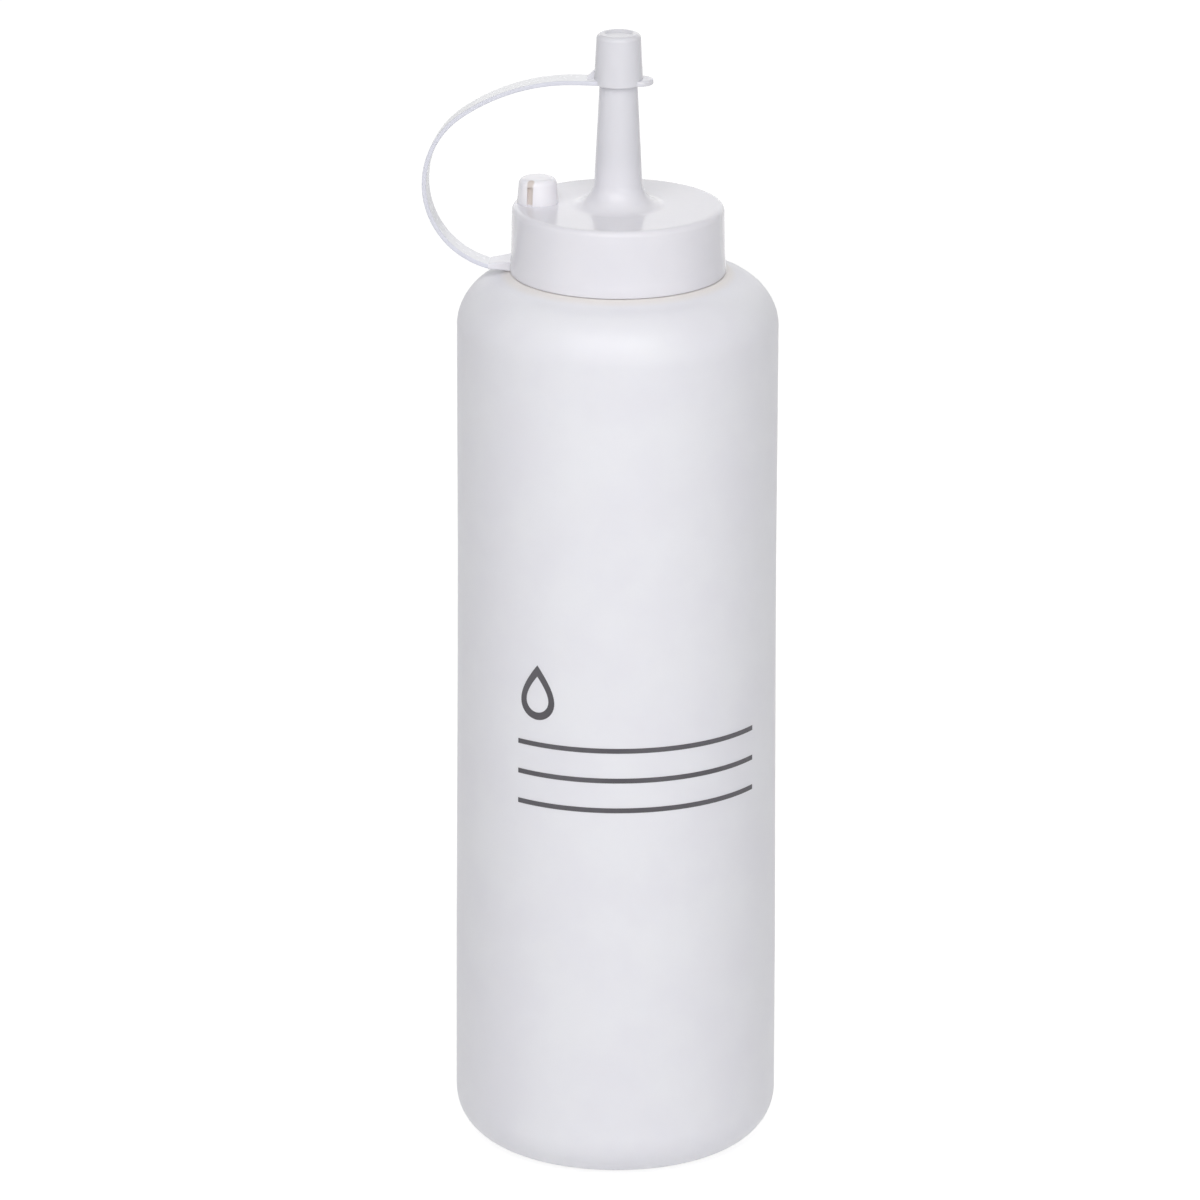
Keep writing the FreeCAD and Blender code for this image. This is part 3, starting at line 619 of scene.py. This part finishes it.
def ink_drop(name):
    """An outlined drop on the wall."""
    bpy.ops.object.select_all(action="DESELECT")
    bpy.ops.mesh.primitive_circle_add(vertices=DROP_SIDES, radius=DROP_WIDE * MM)
    piece = start_piece(name)
    bpy.ops.mesh.select_mode(type="EDGE")
    bpy.ops.mesh.select_all(action="SELECT")
    bpy.ops.transform.rotate(value=-pi / 2, orient_axis="X", center_override=ORIGIN)
    pull_tip(piece)
    bpy.ops.mesh.select_mode(type="EDGE")
    bpy.ops.mesh.select_all(action="SELECT")
    reached = 1
    for share in STROKE_SHARES:
        bpy.ops.mesh.extrude_edges_move(TRANSFORM_OT_translate={"value": ORIGIN})
        step = share / reached
        bpy.ops.transform.resize(value=(step, step, step), center_override=(0, 0, DROP_CENTRE_Z * MM))
        reached = share
    bpy.ops.mesh.select_all(action="SELECT")
    bpy.ops.transform.translate(value=(0, -2 * BODY_RADIUS * MM, DROP_Z * MM))
    face_outwards()
    bpy.ops.object.mode_set(mode="OBJECT")
    apply_modifier(piece, "SHRINKWRAP", target=bottle, wrap_method="PROJECT", use_project_y=True,
                   use_positive_direction=True, offset=0)
    apply_modifier(piece, "SOLIDIFY", thickness=2 * INK_PROUD * MM, offset=0)
    bpy.ops.object.mode_set(mode="EDIT")
    bpy.ops.mesh.select_all(action="SELECT")
    bpy.ops.transform.rotate(value=-radians(DROP_TURN), orient_axis="Z", center_override=ORIGIN)
    close_piece(piece)
    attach(piece, "bottle")
    return piece


ink_pieces.append(ink_drop("print_drop"))

# %% [markdown]
# ## Plastics
# Soft polyethylene is milky: light goes a little way in and comes out softened. Its skin is never a
# flawless mirror: it has faint clouds where the wall is thicker, and a fine orange peel from the mould.
# A noise on Object coordinates gives the clouds, a finer one drives roughness and bump, and the part of
# the light that travels inside comes from the shader's own subsurface sockets.

# %% Small pieces of a node tree
def add_node(material, kind, **settings):
    """A node with its settings, in that material."""
    node = material.node_tree.nodes.new(kind)
    for name, setting in settings.items():
        setattr(node, name, setting)
    return node


def add_noise(material, size, detail):
    """A noise whose blotches are about size mm, on Object coordinates."""
    place = add_node(material, "ShaderNodeTexCoord")
    noise = add_node(material, "ShaderNodeTexNoise")
    noise.inputs["Scale"].default_value = 1 / (size * MM)
    noise.inputs["Detail"].default_value = detail
    material.node_tree.links.new(place.outputs["Object"], noise.inputs["Vector"])
    return noise.outputs["Fac"]


def add_range(material, source, low, high, to_low, to_high):
    """Maps a value from one range to another, smoothly."""
    node = add_node(material, "ShaderNodeMapRange", interpolation_type="SMOOTHSTEP")
    for socket, setting in zip(("From Min", "From Max", "To Min", "To Max"), (low, high, to_low, to_high)):
        node.inputs[socket].default_value = setting
    material.node_tree.links.new(source, node.inputs["Value"])
    return node.outputs["Result"]


def add_mix(material, share, first, second):
    """Mixes two colours, or a socket and a colour, by a share."""
    node = add_node(material, "ShaderNodeMix", data_type="RGBA")
    sockets = [socket for socket in node.inputs if socket.type == "RGBA"]
    for socket, colour in zip(sockets, (first, second)):
        if isinstance(colour, bpy.types.NodeSocket):
            material.node_tree.links.new(colour, socket)
        else:
            socket.default_value = (*colour, 1)
    factors = [socket for socket in node.inputs if socket.type == "VALUE"]
    material.node_tree.links.new(share, factors[0])
    return [socket for socket in node.outputs if socket.type == "RGBA"][0]


# %% [markdown]
# ### A soft plastic
# All the plastics, the foam and the ink share one recipe. What differs is its two near colours, how
# smooth the skin is, how deep its peel is, how much light travels inside and how strong the sheen is.

# %% The recipe
CLOUD_SIZE, PEEL_SIZE, NOISE_LOW, NOISE_HIGH = 16, 1.1, 0.3, 0.7
INNER_RADIUS, INNER_SCALE, PLASTIC_IOR = (1.0, 0.92, 0.85), 0.0015, 1.51


def soft_plastic(name, pale, deep, smooth, rough, peel, inner=0.0, sheen=0.5):
    """A milky plastic between two near colours and two roughnesses, with a peel of that depth in mm."""
    material = bpy.data.materials.new(name)
    material.use_nodes = True
    links = material.node_tree.links
    shader = material.node_tree.nodes["Principled BSDF"]
    clouds = add_range(material, add_noise(material, CLOUD_SIZE, 3), NOISE_LOW, NOISE_HIGH, 0, 1)
    skin = add_noise(material, PEEL_SIZE, 2)
    links.new(add_mix(material, clouds, pale, deep), shader.inputs["Base Color"])
    links.new(add_range(material, skin, NOISE_LOW, NOISE_HIGH, smooth, rough), shader.inputs["Roughness"])
    bump = add_node(material, "ShaderNodeBump")
    bump.inputs["Distance"].default_value = peel * MM
    links.new(skin, bump.inputs["Height"])
    links.new(bump.outputs["Normal"], shader.inputs["Normal"])
    shader.inputs["Subsurface Weight"].default_value = inner
    shader.inputs["Subsurface Radius"].default_value = INNER_RADIUS
    shader.inputs["Subsurface Scale"].default_value = INNER_SCALE
    shader.inputs["IOR"].default_value = PLASTIC_IOR
    shader.inputs["Specular IOR Level"].default_value = sheen
    return material


bottle_plastic = soft_plastic(
    "bottle_plastic", (0.83, 0.83, 0.87), (0.805, 0.8, 0.85), 0.36, 0.46, 0.02, inner=0.15)
cap_plastic = soft_plastic(
    "cap_plastic", (0.82, 0.81, 0.855), (0.795, 0.785, 0.835), 0.1, 0.17, 0.006, inner=0.15, sheen=0.3)
# The strap's paler colour is painted light, for the light that shines through the thin band.
strap_plastic = soft_plastic(
    "strap_plastic", (0.9, 0.905, 0.93), (0.875, 0.88, 0.91), 0.2, 0.28, 0.003, sheen=0.2)
liner_foam = soft_plastic("liner_foam", (0.86, 0.86, 0.84), (0.74, 0.74, 0.72), 0.8, 0.95, 0.15)
ink = soft_plastic("print_ink", (0.075, 0.07, 0.08), (0.1, 0.095, 0.108), 0.42, 0.55, 0.004)
print("materials:", [material.name for material in bpy.data.materials])

# %% [markdown]
# ### Painted light and shade
# These tints paint light and shade into the plastic's colour, for light that passes through thin walls and
# gathers in hollows: the solid post is painted paler, its groove and the seat under the skirt get painted
# warm shade, and the thin nozzle and the strap's edges get painted shade. A tint is mixed in where a point
# lies: its distance from an upright line, from the middle, or from the floor.

# %% Tints by place
ACROSS, SIDEWAYS, UPWARDS = (1, 1, 0), (0, 1, 0), (0, 0, 1)


def add_distance(material, axes, line=(0, 0)):
    """How far a point is, in mm and along those axes only, from an upright line at (x, y)."""
    place = add_node(material, "ShaderNodeTexCoord")
    offset = add_node(material, "ShaderNodeVectorMath", operation="MULTIPLY_ADD")
    offset.inputs[1].default_value = [axis / MM for axis in axes]
    offset.inputs[2].default_value = (-line[0], -line[1], 0)
    material.node_tree.links.new(place.outputs["Object"], offset.inputs[0])
    away = add_node(material, "ShaderNodeVectorMath", operation="LENGTH")
    material.node_tree.links.new(offset.outputs[0], away.inputs[0])
    return away.outputs["Value"]


def add_rise(material, source, low, high):
    """0 up to low, 1 from high on, and a smooth step between."""
    return add_range(material, source, low, high, 0, 1)


def add_fall(material, source, low, high):
    """1 up to low, 0 from high on, and a smooth step between."""
    return add_range(material, source, low, high, 1, 0)


def add_tint(material, shares, colour):
    """Mixes a colour over the plastic's own, where all the shares are 1."""
    share = shares[0]
    for other in shares[1:]:
        product = add_node(material, "ShaderNodeMath", operation="MULTIPLY")
        material.node_tree.links.new(share, product.inputs[0])
        material.node_tree.links.new(other, product.inputs[1])
        share = product.outputs[0]
    base = material.node_tree.nodes["Principled BSDF"].inputs["Base Color"]
    mixed = add_mix(material, share, base.links[0].from_socket, colour)
    material.node_tree.links.new(mixed, base)


# %% [markdown]
# ### Where the painted light and shade lie
# The seat's painted shade is a ring on the bottle just outside the skirt. The nozzle's painted shade comes
# in over its lower part. The post's painted light fills a round column, and the groove's painted shade a
# thinner one. The strap's painted shade lies on its two narrow sides.

# %% Paint shade on the seat, the nozzle, the groove and the strap's edges, and light on the post
SEAT_PAINTED_SHADE, NOZZLE_PAINTED_SHADE, POST_PAINTED_LIGHT = (0.82, 0.785, 0.77), (0.735, 0.73, 0.775), (0.9, 0.885, 0.925)
GROOVE_PAINTED_SHADE, STRAP_EDGE_PAINTED_SHADE = (0.68, 0.61, 0.57), (0.71, 0.715, 0.79)
THIN_LOW, THIN_HIGH, GROOVE_AWAY = 217, 226, 3.7
# Painted warm shade on the seat: the contact shadow under the skirt's edge, darker and warmer near it.
away = add_distance(bottle_plastic, ACROSS)
height = add_distance(bottle_plastic, UPWARDS)
add_tint(bottle_plastic, [
    add_fall(bottle_plastic, away, SEAT_RADIUS + 0.3, SEAT_RADIUS + 2.4),
    add_rise(bottle_plastic, height, SEAT_Z - 2, SEAT_Z - 1.2),
    add_fall(bottle_plastic, height, SEAT_Z + 0.1, SEAT_Z + 0.7),
], SEAT_PAINTED_SHADE)
# Painted shade on the nozzle, coming in upwards, for the light that its thin wall lets through.
height = add_distance(cap_plastic, UPWARDS)
add_tint(cap_plastic, [add_rise(cap_plastic, height, THIN_LOW, THIN_HIGH)], NOZZLE_PAINTED_SHADE)
# Painted light on the post: it is painted paler than the deck around it.
away = add_distance(cap_plastic, ACROSS, (POST_X, 0))
add_tint(cap_plastic, [
    add_fall(cap_plastic, away, POST_FOOT + 0.05, POST_FOOT + 0.25),
    add_rise(cap_plastic, height, DECK_Z, DECK_Z + 0.4),
], POST_PAINTED_LIGHT)
# Painted warm shade down the post's groove.
groove_turn = radians(GROOVE_DEG)
groove_line = (POST_X + GROOVE_AWAY * cos(groove_turn), GROOVE_AWAY * sin(groove_turn))
away = add_distance(cap_plastic, ACROSS, groove_line)
add_tint(cap_plastic, [
    add_fall(cap_plastic, away, 0.5, 1.0),
    add_rise(cap_plastic, height, GROOVE_LOW, GROOVE_LOW + 0.3),
], GROOVE_PAINTED_SHADE)
# Painted shade on the strap's two narrow sides.
away = add_distance(strap_plastic, SIDEWAYS)
edge = STRAP_WIDTH / 2
add_tint(strap_plastic, [add_rise(strap_plastic, away, edge - 0.3, edge - 0.1)], STRAP_EDGE_PAINTED_SHADE)
print("tints: seat, nozzle, post, groove and strap edges")

# %% [markdown]
# ### Dressing the pieces
# Each piece takes one material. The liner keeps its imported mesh, since it lies hidden under the deck, and
# only gets its foam.

# %% Give each piece its material
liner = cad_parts["sealing_liner"]
dressed = [(bottle, bottle_plastic), (screw_cap, cap_plastic), (nozzle_cap, cap_plastic)]
dressed += [(strap, strap_plastic), (liner, liner_foam)] + [(piece, ink) for piece in ink_pieces]
for piece, material in dressed:
    piece.data.materials.clear()
    piece.data.materials.append(material)
print("dressed:", len(dressed), "pieces")

# %% [markdown]
# ## Studio
# The photograph is taken on white. The floor is white to the camera and still takes the bottle's soft
# shadow, and the world is white to the camera and dim to everything else. Both ask one thing of a
# ray: whether it comes straight from the camera, off a mirror or through glass.

# %% Floor and world
FLOOR_SIDE, FLOOR_WHITE, FLOOR_SHADE, FLOOR_PAINT = 8, 0.86, 0.3, 0.95
AMBIENT, WORLD_WHITE = 0.28, 1.0


def add_seen(tree):
    """1 where a ray comes from the camera, off a mirror or through glass, and 0 elsewhere."""
    path = tree.nodes.new("ShaderNodeLightPath")
    seen = path.outputs["Is Camera Ray"]
    for kind in ("Is Glossy Ray", "Is Transmission Ray"):
        larger = tree.nodes.new("ShaderNodeMath")
        larger.operation = "MAXIMUM"
        tree.links.new(seen, larger.inputs[0])
        tree.links.new(path.outputs[kind], larger.inputs[1])
        seen = larger.outputs[0]
    return seen


def add_choice(tree, seen, otherwise, when_seen):
    """One value where seen is 1, and another elsewhere."""
    node = tree.nodes.new("ShaderNodeMapRange")
    node.inputs["To Min"].default_value = otherwise
    node.inputs["To Max"].default_value = when_seen
    tree.links.new(seen, node.inputs["Value"])
    return node.outputs["Result"]


bpy.ops.object.select_all(action="DESELECT")
bpy.ops.mesh.primitive_plane_add(size=FLOOR_SIDE)
floor = bpy.context.object
floor.name = "floor"
floor_paint = bpy.data.materials.new("floor_paint")
floor_paint.use_nodes = True
tree = floor_paint.node_tree
tree.nodes.clear()
seen = add_seen(tree)
glow = tree.nodes.new("ShaderNodeEmission")
shade = tree.nodes.new("ShaderNodeBsdfDiffuse")
both = tree.nodes.new("ShaderNodeAddShader")
out = tree.nodes.new("ShaderNodeOutputMaterial")
tree.links.new(add_choice(tree, seen, 0, FLOOR_WHITE), glow.inputs["Strength"])
tree.links.new(add_choice(tree, seen, FLOOR_PAINT, FLOOR_SHADE), shade.inputs["Color"])
tree.links.new(glow.outputs[0], both.inputs[0])
tree.links.new(shade.outputs[0], both.inputs[1])
tree.links.new(both.outputs[0], out.inputs["Surface"])
floor.data.materials.append(floor_paint)
world = bpy.data.worlds.new("studio")
bpy.context.scene.world = world
world.use_nodes = True
tree = world.node_tree
sky = tree.nodes["Background"]
sky.inputs["Color"].default_value = (1, 1, 1, 1)
tree.links.new(add_choice(tree, add_seen(tree), AMBIENT, WORLD_WHITE), sky.inputs["Strength"])
print("floor and world:", floor.name, world.name)

# %% [markdown]
# ### Softboxes
# A high softbox in front is the main light, and a low one to the right fills below it. One overhead
# lifts the deck, and one behind draws the rims. The last fills the bottle's back and leaves no glint,
# because it is kept out of mirrored rays.

# %% Hang the lights
MIDDLE = (0, 0, 0.12)


def soft_light(name, place, size, watts):
    """A rectangular area lamp that looks from its place to the bottle's middle."""
    lamp = bpy.data.lights.new(name, "AREA")
    lamp.shape = "RECTANGLE"
    lamp.size, lamp.size_y = size
    lamp.energy = watts
    holder = bpy.data.objects.new(name, lamp)
    bpy.context.scene.collection.objects.link(holder)
    holder.location = place
    holder.rotation_euler = (Vector(MIDDLE) - Vector(place)).to_track_quat("-Z", "Y").to_euler()
    return holder


soft_light("high_softbox", (0, -1.4, 1.4), (1.8, 1.2), 20)
soft_light("low_softbox", (0.6, -1.7, 0.2), (1.8, 0.8), 6)
soft_light("top_softbox", (0, 0.1, 1.8), (1.5, 1.5), 3)
soft_light("back_softbox", (0, 2.1, 0.85), (2.2, 1.2), 4)
back_fill = soft_light("back_fill", (0, 2.1, 0.3), (1.0, 0.5), 7)
back_fill.visible_glossy = False
print("lights:", [lamp.name for lamp in bpy.data.lights])

# %% [markdown]
# ## Camera
# The photograph is taken from about 1.8 m away with a long lens, a little above the bottle. The strap
# points to the left and slightly away. The lens follows from the focal length in pixels that fits the
# bottle's outlines, and a picture 1200 pixels wide.

# %% Camera
CAMERA_TURN, CAMERA_RISE, CAMERA_FAR = radians(5.5), radians(18), 1.78
AIM_Z, AXIS_RIGHT, CAMERA_ROLL = 0.1235, 0.0037, radians(0.15)
SENSOR, FOCAL_PIXELS, PICTURE_PIXELS, CLIP_END = 36, 8117, 1200, 20
camera = bpy.data.objects.new("camera", bpy.data.cameras.new("camera"))
bpy.context.scene.collection.objects.link(camera)
camera.data.sensor_width = SENSOR
camera.data.lens = FOCAL_PIXELS * SENSOR / PICTURE_PIXELS
camera.data.clip_end = CLIP_END
level = cos(CAMERA_RISE)
back = Vector((sin(CAMERA_TURN) * level, -cos(CAMERA_TURN) * level, sin(CAMERA_RISE)))
right = Vector((cos(CAMERA_TURN), sin(CAMERA_TURN), 0))
aim = Vector((0, 0, AIM_Z)) - right * AXIS_RIGHT
camera.location = aim + back * CAMERA_FAR
upright = back.to_track_quat("Z", "Y")
camera.rotation_euler = (upright @ Quaternion((0, 0, 1), CAMERA_ROLL)).to_euler()
bpy.context.scene.camera = camera
bpy.context.scene.view_settings.view_transform = "Standard"
print("camera lens, mm:", round(camera.data.lens, 1))
